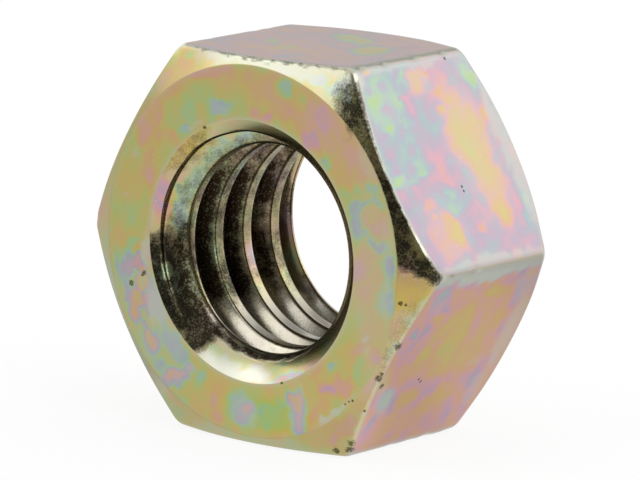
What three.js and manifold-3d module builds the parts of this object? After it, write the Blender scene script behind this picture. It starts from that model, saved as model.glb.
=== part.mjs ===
// A hex nut for a 5/16 inch bolt with 18 threads to the inch, zinc plated and yellow passivated.
// Units are millimetres. The nut stands on one flat: its bore runs along Y, two of its corners
// point along X, and the origin is on the surface below the middle of the nut.
//
// It is made in the order a nut is: a hexagon bar is cut to length, both faces are turned with
// a conical chamfer that leaves a round face and curved edges on the flats, the hole is drilled
// and countersunk from both sides, and a tap cuts the right-hand thread through it.

import * as THREE from 'three';
import { mergeVertices } from 'three/addons/utils/BufferGeometryUtils.js';
import Module from 'manifold-3d';

const wasm = await Module();
wasm.setup();

// The hexagon bar
const ACROSS_FLATS = 12.6;
const THICKNESS = 6.85; // from face to face, along the bore
const CORNER_RADIUS = 0.43; // of the six long corners
const SIDES = 6;

// The turned chamfer, alike on both faces
const FACE_INSET = 0.26; // from the flats in to the edge of the round face
const CHAMFER_ANGLE = 29; // degrees, between the cone and the face

// The tapped hole
const THREAD_DIAMETER = 7.94; // of the bolt that goes in, at the roots of the nut's grooves
const THREAD_DEPTH = 0.61; // from a groove's root in to the crests, along the radius
const THREAD_PITCH = 25.4 / 18; // what a bolt moves in one turn
const THREAD_ANGLE = 60; // degrees, between the flanks of a groove
const THREAD_START = 0.3; // from the front face in to the middle of the first crest, at +X
const ROOT_FLAT_SHARE = 1 / 8; // of the pitch, the flat width of a groove's root
const FRONT_LIP = 0.31; // from the thread's root out to the front countersink's mouth
const BACK_LIP = 0.17; // the same at the back
const COUNTERSINK_ANGLE = 90; // degrees, the whole cone
const DRILL_ALLOWANCE = 0.08; // from the drilled hole out to the crests, which the tap finishes

// How finely the round forms are divided
const TURN_STEPS = 120; // facets in a full turn
const CORNER_STEPS = 6; // facets in a corner's rounding
const CUT_MARGIN = 1; // how far a cutter runs past what it cuts
const WELD = 1e-5; // vertices closer than this are one

const PLATING = { color: 0xb9a877, roughness: 0.34, metalness: 0.85 };

const halfFlats = ACROSS_FLATS / 2;
const halfThickness = THICKNESS / 2;
const halfSideAngle = Math.PI / SIDES;
const cornerCentre = (halfFlats - CORNER_RADIUS) / Math.cos(halfSideAngle);
const cornerReach = cornerCentre + CORNER_RADIUS;
const faceRadius = halfFlats - FACE_INSET;
const rootRadius = THREAD_DIAMETER / 2;
const crestRadius = rootRadius - THREAD_DEPTH;
const drilledRadius = crestRadius - DRILL_ALLOWANCE;

// The outline of the bar: straight flats between rounded corners, the first corner on +X.
function barOutline() {
  const outline = new THREE.Shape();
  for (let side = 0; side < SIDES; side += 1) {
    const angle = 2 * halfSideAngle * side;
    const x = cornerCentre * Math.cos(angle);
    const y = cornerCentre * Math.sin(angle);
    outline.absarc(x, y, CORNER_RADIUS, angle - halfSideAngle, angle + halfSideAngle, false);
  }
  outline.closePath();
  return outline;
}

// The bar cut to the nut's thickness, with its axis along Y.
function cutBar() {
  const bar = new THREE.ExtrudeGeometry(barOutline(), {
    depth: THICKNESS,
    bevelEnabled: false,
    curveSegments: CORNER_STEPS,
  });
  bar.rotateX(Math.PI / 2);
  bar.translate(0, halfThickness, 0);
  return bar;
}

// A solid turned about Y, from a profile of [radius, height] pairs that goes up its side.
function turned(side) {
  const profile = [[0, side[0][1]], ...side, [0, side.at(-1)[1]]];
  return new THREE.LatheGeometry(profile.map(([x, y]) => new THREE.Vector2(x, y)), TURN_STEPS);
}

// What the lathe leaves: everything inside the two chamfer cones and the two faces.
function chamferEnvelope() {
  const outerRadius = cornerReach + CUT_MARGIN;
  const slope = Math.tan(THREE.MathUtils.degToRad(CHAMFER_ANGLE));
  const drop = (outerRadius - faceRadius) * slope;
  return turned([
    [faceRadius, -halfThickness],
    [outerRadius, drop - halfThickness],
    [outerRadius, halfThickness - drop],
    [faceRadius, halfThickness],
  ]);
}

// What the drill and the two countersinks take away.
function drillAndCountersinks() {
  const slope = Math.tan(THREE.MathUtils.degToRad(COUNTERSINK_ANGLE / 2));
  const cone = (lip) => [
    [rootRadius + lip + CUT_MARGIN * slope, halfThickness + CUT_MARGIN],
    [drilledRadius, halfThickness - (rootRadius + lip - drilledRadius) / slope],
  ];
  const front = cone(FRONT_LIP).map(([radius, height]) => [radius, -height]);
  return turned([...front, ...cone(BACK_LIP).reverse()]);
}

// What the tap takes away: a bar with one ridge wound round it, longer than the bore. Its skin
// has a column of points for each step of a turn, and one row for each corner of the ridge's
// profile. The ridge is right-handed, so each column stands a little nearer to the front than
// the one before it, and the last column meets the first a whole pitch further on.
function tap() {
  const halfRoot = THREAD_PITCH * ROOT_FLAT_SHARE / 2;
  const flank = THREAD_DEPTH * Math.tan(THREE.MathUtils.degToRad(THREAD_ANGLE / 2));
  const ridge = [
    [rootRadius, -halfRoot],
    [rootRadius, halfRoot],
    [crestRadius, halfRoot + flank],
    [crestRadius, THREAD_PITCH - halfRoot - flank],
  ];
  // Past each face it has turns enough for the margin, and one more for the step at its end.
  const spareTurns = Math.ceil(CUT_MARGIN / THREAD_PITCH) + 1;
  const turns = Math.ceil(THICKNESS / THREAD_PITCH) + 2 * spareTurns;
  const firstRoot = THREAD_START - halfThickness - (spareTurns - 1 / 2) * THREAD_PITCH;
  const rows = turns * ridge.length;
  const lastRow = rows - 1;
  const lastStep = TURN_STEPS - 1;

  const points = [];
  for (let step = 0; step < TURN_STEPS; step += 1) {
    const turn = step / TURN_STEPS;
    const angle = 2 * Math.PI * turn;
    for (let row = 0; row < rows; row += 1) {
      const [radius, along] = ridge[row % ridge.length];
      const pitches = Math.floor(row / ridge.length) - turn;
      const height = firstRoot + pitches * THREAD_PITCH + along;
      points.push(radius * Math.cos(angle), height, radius * Math.sin(angle));
    }
  }
  const at = (step, row) => (step <= lastStep ? step * rows + row : row - ridge.length);

  const index = [];
  for (let step = 0; step < TURN_STEPS; step += 1) {
    for (let row = step === lastStep ? ridge.length : 0; row < lastRow; row += 1) {
      const near = at(step, row);
      const far = at(step + 1, row + 1);
      index.push(near, at(step, row + 1), far, near, far, at(step + 1, row));
    }
  }

  // Each end is a fan about a point on the axis: round the turn, then along the step that is
  // left where the turn's last column meets its first.
  const steps = [...Array(TURN_STEPS).keys()];
  const cornersOfRidge = [...Array(ridge.length).keys()];
  const nearEnd = [
    ...steps.map((step) => at(step, 0)),
    ...cornersOfRidge.map((corner) => at(lastStep, corner + 1)),
  ];
  const farEnd = [
    ...cornersOfRidge.map((corner) => at(0, lastRow - corner)),
    at(TURN_STEPS, lastRow),
    ...steps.slice(1).reverse().map((step) => at(step, lastRow)),
  ];
  for (const [rim, outermost] of [[nearEnd, at(lastStep, 0)], [farEnd, at(0, lastRow)]]) {
    const centre = points.length / 3;
    points.push(0, points[3 * outermost + 1], 0);
    rim.forEach((point, i) => index.push(point, rim[(i + 1) % rim.length], centre));
  }

  const bar = new THREE.BufferGeometry();
  bar.setAttribute('position', new THREE.Float32BufferAttribute(points, 3));
  bar.setIndex(index);
  return bar;
}

// A closed geometry as a solid that can be joined and cut. Triangles that close up to a line
// when the vertices are welded, as they do on a turned solid's axis, are left out.
function toSolid(geometry) {
  const bare = geometry.clone();
  bare.deleteAttribute('normal');
  bare.deleteAttribute('uv');
  const welded = mergeVertices(bare, WELD);
  const index = welded.index.array;
  const triangles = [];
  for (let i = 0; i < index.length; i += 3) {
    const [a, b, c] = index.subarray(i, i + 3);
    if (a !== b && b !== c && c !== a) {
      triangles.push(a, b, c);
    }
  }
  return new wasm.Manifold(new wasm.Mesh({
    numProp: 3,
    vertProperties: new Float32Array(welded.attributes.position.array),
    triVerts: new Uint32Array(triangles),
  }));
}

function toGeometry(solid) {
  const mesh = solid.getMesh();
  const geometry = new THREE.BufferGeometry();
  geometry.setAttribute('position', new THREE.BufferAttribute(mesh.vertProperties, 3));
  geometry.setIndex(new THREE.BufferAttribute(mesh.triVerts, 1));
  geometry.computeVertexNormals();
  return geometry;
}

function hexNut() {
  const blank = toSolid(cutBar()).intersect(toSolid(chamferEnvelope()));
  const hole = toSolid(drillAndCountersinks()).add(toSolid(tap()));
  const geometry = toGeometry(blank.subtract(hole));
  const nut = new THREE.Mesh(geometry, new THREE.MeshStandardMaterial(PLATING));
  nut.name = 'hex_nut';
  nut.position.z = halfFlats;
  return nut;
}

const part = new THREE.Group();
part.name = 'hex_nut_standing_on_a_flat';
part.add(hexNut());

export default part;
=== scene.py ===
"""A yellow passivated hex nut for a 5/16 inch bolt, standing on one flat in a white studio."""

import math
import random

import bmesh
import bpy
import numpy as np
from mathutils import Matrix, Vector


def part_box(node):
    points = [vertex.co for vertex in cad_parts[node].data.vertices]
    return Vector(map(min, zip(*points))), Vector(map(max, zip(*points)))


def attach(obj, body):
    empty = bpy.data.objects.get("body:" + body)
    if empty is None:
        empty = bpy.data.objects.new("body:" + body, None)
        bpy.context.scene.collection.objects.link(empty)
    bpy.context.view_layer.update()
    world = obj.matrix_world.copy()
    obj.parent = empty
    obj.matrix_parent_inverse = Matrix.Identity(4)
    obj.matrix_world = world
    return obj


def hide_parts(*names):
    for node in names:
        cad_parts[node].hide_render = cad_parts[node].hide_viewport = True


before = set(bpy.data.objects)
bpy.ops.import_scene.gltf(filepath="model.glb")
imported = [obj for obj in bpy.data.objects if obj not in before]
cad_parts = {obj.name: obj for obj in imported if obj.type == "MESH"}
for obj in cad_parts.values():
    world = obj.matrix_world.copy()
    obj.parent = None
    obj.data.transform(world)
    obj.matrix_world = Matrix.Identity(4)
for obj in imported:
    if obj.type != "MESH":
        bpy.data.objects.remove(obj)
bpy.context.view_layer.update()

NODE = "hex_nut"
MM = 0.001

# --- The nut's sizes, in metres ---
LOW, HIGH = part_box(NODE)
THICKNESS = HIGH.y - LOW.y
ACROSS_FLATS = HIGH.z - LOW.z
SIDES = 6
SIDE_ANGLE = 2 * math.pi / SIDES
HALF_SIDE = SIDE_ANGLE / 2
CORNER_RADIUS = 0.43 * MM
FACE_INSET = 0.26 * MM
CHAMFER_SLOPE = math.tan(math.radians(29))
THREAD_ROOT = 4.00 * MM
THREAD_CREST = 3.36 * MM
FRONT_MOUTH = 4.28 * MM
BACK_MOUTH = 4.14 * MM
PITCH = 25.4 / 18 * MM
CREST_FLAT = 0.44 * MM
THREAD_START = 0.30 * MM  # from the front face in to the middle of the first crest, at +X
FLANK_SLOPE = math.tan(math.radians(60))  # of a 60 degree thread

# The countersink closes in by MOUTH_LEAN of its depth, less MOUTH_CURVE of the depth squared. Below
# MOUTH_CURVED it closes in by MOUTH_WALL of what is deeper.
MOUTH_LEAN = 1.43
MOUTH_CURVE = 0.478 / MM
MOUTH_CURVED = 1.2 * MM
MOUTH_WALL = 0.3

# How round the edges are. The corners of the faces are rounder than the rest, those at the back
# most of all, and the front edge is worn near the upper right corner.
ROUND_FLAT = 0.15 * MM
ROUND_FRONT_CORNER = 0.28 * MM
ROUND_BACK_CORNER = 0.50 * MM
CORNER_SHARPNESS = 8  # how closely that keeps to the corners
WORN_ROUNDING = 0.16 * MM
WORN_AT = math.radians(51)
WORN_REACH = math.radians(8)
ROUND_FACE = 0.12 * MM
ROUND_MOUTH = 0.06 * MM
MOUTH_START = 0.02 * MM  # how deep in its mouths the blank ends
ROUND_THREAD = 0.07 * MM

# How finely the surface is divided
COLUMNS = 324
CORNER_CROWD = 0.55  # how strongly the columns crowd towards the corners
ROWS_PER_TURN = 22
FLAT_ROWS = 60
CHAMFER_ROWS = 10
FACE_ROWS = 20
ARC_ROWS = 5
WELD = 0.0004 * MM

CENTRE = Vector((0.0, 0.0, LOW.z + ACROSS_FLATS / 2))
FACE = THICKNESS / 2
FACE_RADIUS = ACROSS_FLATS / 2 - FACE_INSET


# --- Node trees ---
class Value:
    """A socket with the arithmetic that adds Math nodes to its tree."""

    def __init__(self, tree, socket):
        self.tree = tree
        self.socket = socket

    def math(self, operation, *others):
        inputs = {i: value for i, value in enumerate((self, *others))}
        return self.tree.add("ShaderNodeMath", {"operation": operation}, inputs)

    def __add__(self, other):
        return self.math("ADD", other)

    __radd__ = __add__

    def __mul__(self, other):
        return self.math("MULTIPLY", other)

    __rmul__ = __mul__

    def __sub__(self, other):
        return self.math("SUBTRACT", other)

    def __rsub__(self, other):
        return (self * -1) + other

    def __truediv__(self, other):
        return self.math("DIVIDE", other)

    def clamp(self):
        return self.math("MINIMUM", 1.0).math("MAXIMUM", 0.0)


class Tree:
    """A shader or geometry node tree that is written as expressions."""

    def __init__(self, nodes, links):
        self.nodes = nodes
        self.links = links

    def add(self, kind, settings=None, inputs=None, output=0):
        """Adds one node: its settings first, then the values or links of its sockets."""
        node = self.nodes.new(kind)
        for name, value in (settings or {}).items():
            if name == "stops":
                self.set_stops(node.color_ramp, value)
            else:
                setattr(node, name, value)
        for key, value in (inputs or {}).items():
            if isinstance(value, Value):
                self.links.new(value.socket, node.inputs[key])
            else:
                node.inputs[key].default_value = value
        return Value(self, node.outputs[output]) if node.outputs else node

    def set_stops(self, ramp, stops):
        while len(ramp.elements) < len(stops):
            ramp.elements.new(1.0)
        for element, (place, colour) in zip(ramp.elements, stops):
            element.position = place
            element.color = colour

    def vector(self, operation, first, second=(0, 0, 0), output=0):
        inputs = {0: first, 1: second}
        return self.add("ShaderNodeVectorMath", {"operation": operation}, inputs, output)

    def other(self, value, output):
        """Another output of the node that a value comes from."""
        return Value(self, value.socket.node.outputs[output])

    def mix(self, share, first, second):
        """One colour turned into another by a share from 0 to 1."""
        settings = {"data_type": "RGBA", "clamp_factor": True}
        return self.add("ShaderNodeMix", settings, {0: share, 6: first, 7: second}, output=2)

    def noise(self, place, size, detail, seed):
        """Noise from 0 to 1 with features of about a size in metres."""
        settings = {"noise_dimensions": "4D"}
        inputs = {"Vector": place, "W": seed, "Scale": 1 / size, "Detail": detail}
        return self.add("ShaderNodeTexNoise", settings, inputs)

    def attribute(self, name):
        """A number that is stored on the mesh."""
        return self.add("ShaderNodeAttribute", {"attribute_name": name}, output=2)


# --- The blank: flats, chamfers and faces ---
def column_angle(turn):
    """The angle of a column, from 0 to 1 round the nut, with columns crowded at the corners."""
    return 2 * math.pi * turn - CORNER_CROWD / SIDES * np.sin(2 * math.pi * SIDES * turn)


def off_corner(angle):
    """The angle from a place round the nut to the nearest corner."""
    return np.abs(angle - np.round(angle / SIDE_ANGLE) * SIDE_ANGLE)


def bar_radius(angle):
    """How far the hexagon bar reaches from the axis at an angle, its corners rounded."""
    off = off_corner(angle)
    flat = ACROSS_FLATS / 2 / np.cos(HALF_SIDE - off)
    centre = (ACROSS_FLATS / 2 - CORNER_RADIUS) / math.cos(HALF_SIDE)
    tangent = math.atan2(CORNER_RADIUS / 2, centre + CORNER_RADIUS * math.cos(HALF_SIDE))
    reach = np.sqrt(np.maximum(CORNER_RADIUS**2 - (centre * np.sin(off)) ** 2, 0))
    return np.where(off < tangent, centre * np.cos(off) + reach, flat)


def rounded(corners, radii, rows):
    """Points along a profile whose inner corners are arcs. Each point is (radii, heights)."""
    points = [corners[0]]
    before = corners[0]
    for i, radius in enumerate(radii, start=1):
        here = corners[i]
        into = here - corners[i - 1]
        away = corners[i + 1] - here
        into = into / np.linalg.norm(into, axis=0)
        away = away / np.linalg.norm(away, axis=0)
        half_turn = np.arccos(np.clip((into * away).sum(axis=0), -1, 1)) / 2
        reach = radius * np.tan(half_turn)
        first = here - into * reach
        last = here + away * reach
        side = np.sign(into[0] * away[1] - into[1] * away[0])
        normal = np.stack([-into[1], into[0]]) * side
        centre = first + normal * radius
        points += [before + (first - before) * k / rows[i - 1] for k in range(1, rows[i - 1])]
        for k in range(ARC_ROWS + 1):
            turn = 2 * half_turn * k / ARC_ROWS
            points.append(centre - normal * radius * np.cos(turn) + into * radius * np.sin(turn))
        before = last
    points += [before + (corners[-1] - before) * k / rows[-1] for k in range(1, rows[-1] + 1)]
    return points


def mouth_inset(depth, curved):
    """How far the countersink has closed in at a depth, of which a part is in the curve."""
    return curved * MOUTH_LEAN - curved * curved * MOUTH_CURVE + (depth - curved) * MOUTH_WALL


def blank_mesh():
    """The outside of the nut, open at the two mouths of its hole."""
    angle = column_angle(np.arange(COLUMNS) / COLUMNS)
    bar = bar_radius(angle)
    same = np.ones(COLUMNS)
    drop = (bar - FACE_RADIUS) * CHAMFER_SLOPE

    def half(mouth):
        inside = mouth - mouth_inset(MOUTH_START, MOUTH_START)
        return [
            np.stack([inside * same, (MOUTH_START - FACE) * same]),
            np.stack([mouth * same, -FACE * same]),
            np.stack([FACE_RADIUS * same, -FACE * same]),
            np.stack([bar, drop - FACE]),
        ]

    front = half(FRONT_MOUTH)
    back = [point * np.array([[1], [-1]]) for point in reversed(half(BACK_MOUTH))]
    at_corner = np.cos(SIDES / 2 * angle) ** CORNER_SHARPNESS
    front_edge = ROUND_FLAT + (ROUND_FRONT_CORNER - ROUND_FLAT) * at_corner
    front_edge = front_edge + WORN_ROUNDING * np.exp(-(((angle - WORN_AT) / WORN_REACH) ** 2))
    back_edge = ROUND_FLAT + (ROUND_BACK_CORNER - ROUND_FLAT) * at_corner
    radii = [ROUND_MOUTH, ROUND_FACE, front_edge, back_edge, ROUND_FACE, ROUND_MOUTH]
    rows = [1, FACE_ROWS, CHAMFER_ROWS, FLAT_ROWS, CHAMFER_ROWS, FACE_ROWS, 1]
    profile = np.array(rounded(front + back, radii, rows))
    radius, height = profile[:, 0], profile[:, 1]
    points = np.stack([radius * np.cos(angle), height, radius * np.sin(angle)], axis=-1)
    count = len(points)
    faces = []
    for row in range(count - 1):
        for column in range(COLUMNS):
            beside = (column + 1) % COLUMNS
            lower, upper = row * COLUMNS, (row + 1) * COLUMNS
            faces.append((lower + column, lower + beside, upper + beside, upper + column))
    mesh = bpy.data.meshes.new("nut_blank")
    mesh.from_pydata((points.reshape(-1, 3) + np.array(CENTRE)).tolist(), [], faces)
    return mesh


# --- The tapped hole, as a geometry node tree ---
def thread_tree(material):
    """A tree that closes the blank with a countersunk hole and its right-hand thread."""
    group = bpy.data.node_groups.new("tapped_hole", "GeometryNodeTree")
    face = group.interface
    face.new_socket("Blank", in_out="INPUT", socket_type="NodeSocketGeometry")
    sizes = {
        "Crest radius": THREAD_CREST,
        "Root radius": THREAD_ROOT,
        "Front mouth": FRONT_MOUTH,
        "Back mouth": BACK_MOUTH,
        "Pitch": PITCH,
        "Crest flat": CREST_FLAT,
        "Start": THREAD_START,
        "Rounding": ROUND_THREAD,
    }
    for name in sizes:
        face.new_socket(name, in_out="INPUT", socket_type="NodeSocketFloat")
    face.new_socket("Nut", in_out="OUTPUT", socket_type="NodeSocketGeometry")
    tree = Tree(group.nodes, group.links)
    blank = tree.add("NodeGroupInput")
    size = {name: tree.other(blank, name) for name in sizes}

    rows = math.ceil((THICKNESS / PITCH + 1) * ROWS_PER_TURN)
    grid = tree.add("GeometryNodeMeshGrid", inputs={"Vertices X": COLUMNS + 1, "Vertices Y": rows + 1})
    place = tree.add("ShaderNodeSeparateXYZ", inputs={0: tree.add("GeometryNodeInputPosition")})
    turn = place + 0.5
    row = (tree.other(place, 1) + 0.5) * rows
    crowding = (turn * (2 * math.pi * SIDES)).math("SINE") * (CORNER_CROWD / SIDES)
    angle = turn * (2 * math.pi) - crowding
    turned = angle / (2 * math.pi)
    end = FACE - MOUTH_START
    height = size["Pitch"] * (row / ROWS_PER_TURN - turned) - end
    height = height.math("MINIMUM", end).math("MAXIMUM", -end)

    # How far a point is from the middle of the nearest crest, along the bore
    phase = (height + FACE - size["Start"]) / size["Pitch"] + turned
    off_crest = (phase - phase.math("ROUND")).math("ABSOLUTE") * size["Pitch"]
    flank = (off_crest - size["Crest flat"] * 0.5) * FLANK_SLOPE
    groove = flank.math("SMOOTH_MAX", 0.0, size["Rounding"])
    groove = groove.math("SMOOTH_MIN", size["Root radius"] - size["Crest radius"], size["Rounding"])
    radius = size["Crest radius"] + groove
    for mouth, depth in (("Front mouth", height + FACE), ("Back mouth", FACE - height)):
        cone = size[mouth] - mouth_inset(depth, depth.math("MINIMUM", MOUTH_CURVED))
        radius = radius.math("SMOOTH_MAX", cone, size["Rounding"])
    spot = tree.add("ShaderNodeCombineXYZ", inputs={
        0: radius * angle.math("COSINE"),
        1: height,
        2: radius * angle.math("SINE") + CENTRE.z,
    })
    hole = tree.add("GeometryNodeSetPosition", inputs={"Geometry": grid, "Position": spot})
    join = tree.add("GeometryNodeJoinGeometry", inputs={0: blank})
    tree.links.new(hole.socket, join.socket.node.inputs[0])
    welded = tree.add("GeometryNodeMergeByDistance", inputs={"Geometry": join, "Distance": WELD})
    smooth = tree.add("GeometryNodeSetShadeSmooth", inputs={"Geometry": welded, "Shade Smooth": True})
    real = tree.add("GeometryNodeRealizeInstances", inputs={"Geometry": smooth})
    done = tree.add("GeometryNodeSetMaterial", inputs={"Geometry": real, "Material": material})
    tree.add("NodeGroupOutput", inputs={0: done})
    return group, sizes


def new_object(name, data):
    """An object in the scene."""
    added = bpy.data.objects.new(name, data)
    bpy.context.scene.collection.objects.link(added)
    return added


def evaluated_copy(name, mesh, group, sizes):
    """A plain object made by running one node tree on a mesh."""
    source = new_object("source", mesh)
    modifier = source.modifiers.new("nodes", "NODES")
    modifier.node_group = group
    for item in group.interface.items_tree:
        if item.in_out == "INPUT" and item.name in sizes:
            modifier[item.identifier] = sizes[item.name]
    bpy.context.view_layer.update()
    graph = bpy.context.evaluated_depsgraph_get()
    result = bpy.data.meshes.new_from_object(source.evaluated_get(graph), depsgraph=graph)
    bpy.data.objects.remove(source)
    result.name = name
    return new_object(name, result)


# Knocks in the edges, in millimetres from the middle: where, how wide and how deep
DENTS = [
    (3.6, -2.4, 6.24, 0.35, 0.04), (3.6, -1.25, 6.24, 0.3, 0.03), (3.6, 0.3, 6.24, 0.4, 0.03),
    (3.6, 1.7, 6.24, 0.3, 0.03), (7.2, -2.75, 0.05, 0.4, 0.06), (7.2, -0.9, 0, 0.35, 0.02),
    (3.7, -2.9, -6.1, 0.4, 0.04), (-7.1, -2.7, 0.1, 0.35, 0.04), (-3.6, -2.8, 6.15, 0.35, 0.03),
    (5.3, -3, 3.3, 0.3, 0.02), (6.1, -3, 1.9, 0.3, 0.02),
]
# More are on the corners that face away: at which, counted in sides from +X, how far out, and the
# ranges of their places along the bore, widths and depths. A dent goes in less along the bore.
HIDDEN_DENTS = 12
HIDDEN_CORNERS = [2, 3, 4, 5]
CORNER_REACH = 7.2
DENT_PLACES = -2.5, 3.2
DENT_WIDTHS = 0.3, 0.55
DENT_DEPTHS = 0.01, 0.03
DENT_PUSH = 1, 0.35, 1


def smooth(amount):
    """Eases a number from 0 to 1, with both ends held."""
    held = np.clip(amount, 0, 1)
    return held * held * (3 - 2 * held)


def rise(values, start, width):
    """0 up to a start, and 1 from a width beyond it."""
    return smooth((values - start) / width)


def fall(values, end, width):
    """1 up to a width before an end, and 0 from the end on."""
    return smooth((end - values) / width)


def blend(values, goal, share):
    """Values moved by a share of the way to a goal."""
    return values + (goal - values) * share


def vectors_of(items, name):
    """One vector of each of a mesh's items, in rows."""
    vectors = np.empty(len(items) * 3, np.float32)
    items.foreach_get(name, vectors)
    return vectors.reshape(-1, 3).astype(float)


def knock(mesh):
    """Pushes small dents into the edges of the nut. A dent only ever goes inwards."""
    dice = random.Random(11)
    dents = list(DENTS)
    for _ in range(HIDDEN_DENTS):
        corner = SIDE_ANGLE * dice.choice(HIDDEN_CORNERS)
        along = dice.uniform(*DENT_PLACES)
        x, z = CORNER_REACH * math.cos(corner), CORNER_REACH * math.sin(corner)
        dents.append((x, along, z, dice.uniform(*DENT_WIDTHS), dice.uniform(*DENT_DEPTHS)))
    points = vectors_of(mesh.vertices, "co")
    start = points - np.array(CENTRE)
    inwards = start * np.array(DENT_PUSH)
    inwards = inwards / -np.linalg.norm(inwards, axis=1)[:, None]
    for *place, width, depth in dents:
        off = np.linalg.norm(start - np.array(place) * MM, axis=1) / (width * MM)
        points = points + inwards * (smooth(1 - off) * depth * MM)[:, None]
    mesh.vertices.foreach_set("co", points.ravel().astype(np.float32))
    mesh.update()


def face_outwards(mesh):
    """Turns the faces of a closed mesh so that they point out of it."""
    work = bmesh.new()
    work.from_mesh(mesh)
    bmesh.ops.recalc_face_normals(work, faces=work.faces)
    if work.calc_volume(signed=True) < 0:
        bmesh.ops.reverse_faces(work, faces=work.faces)
    work.to_mesh(mesh)
    work.free()


# --- The passivation film ---
# The film's colour follows its thickness, so the film is one number, its phase: 0 is ochre, and
# orange, pink, mauve, blue, teal and green follow, until 1 is ochre again.
def flat_directions(turn):
    """Along the bore, along a flat and out of it, for the flat that faces an angle."""
    return (0, 1, 0), (-math.sin(turn), 0, math.cos(turn)), (math.cos(turn), 0, math.sin(turn))


# The two directions that lie on each surface, the one out of it, and its distance from the middle
SURFACES = {
    "front": (((1, 0, 0), (0, 0, 1), (0, -1, 0)), FACE),
    "slopes": (((1, 0, 0), (0, 0, 1), (0, -1, 0)), FACE),
    "back": (((-1, 0, 0), (0, 0, 1), (0, 1, 0)), FACE),
}
FLATS = ["upper_right", "top", "upper_left", "lower_left", "bottom", "lower_right"]
for side, flat in enumerate(FLATS):
    SURFACES[flat] = flat_directions(side * SIDE_ANGLE + HALF_SIDE), ACROSS_FLATS / 2

# The film's phase on each surface, and how grey and pale it is there, from 0 to 1. Phases a whole
# step apart look alike, so a flat has the one that is nearer to the chamfer's, and no rainbow divides
# them. On the flats that are stepped up for this, the patches are written without the step.
PHASE = {
    "front": 0.97, "back": 1.05, "upper_right": 1.47, "top": 1.33, "upper_left": 1.2,
    "lower_left": 0.85, "bottom": 1.4, "lower_right": 1.25,
}
STEPPED = ["upper_right", "top", "lower_right"]
GREYNESS = {
    "front": 0.19, "back": 0.12, "upper_right": 0.19, "top": 0.5, "upper_left": 0.3,
    "lower_left": 0.25, "bottom": 0.3, "lower_right": 0.14,
}
CHAMFER_PHASE = 0.98
CHAMFER_GREYNESS = 0.24
COUNTERSINK_PHASE = 1.1
THREAD_PHASE = 1.02
HOLE_GREYNESS = 0.44

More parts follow.
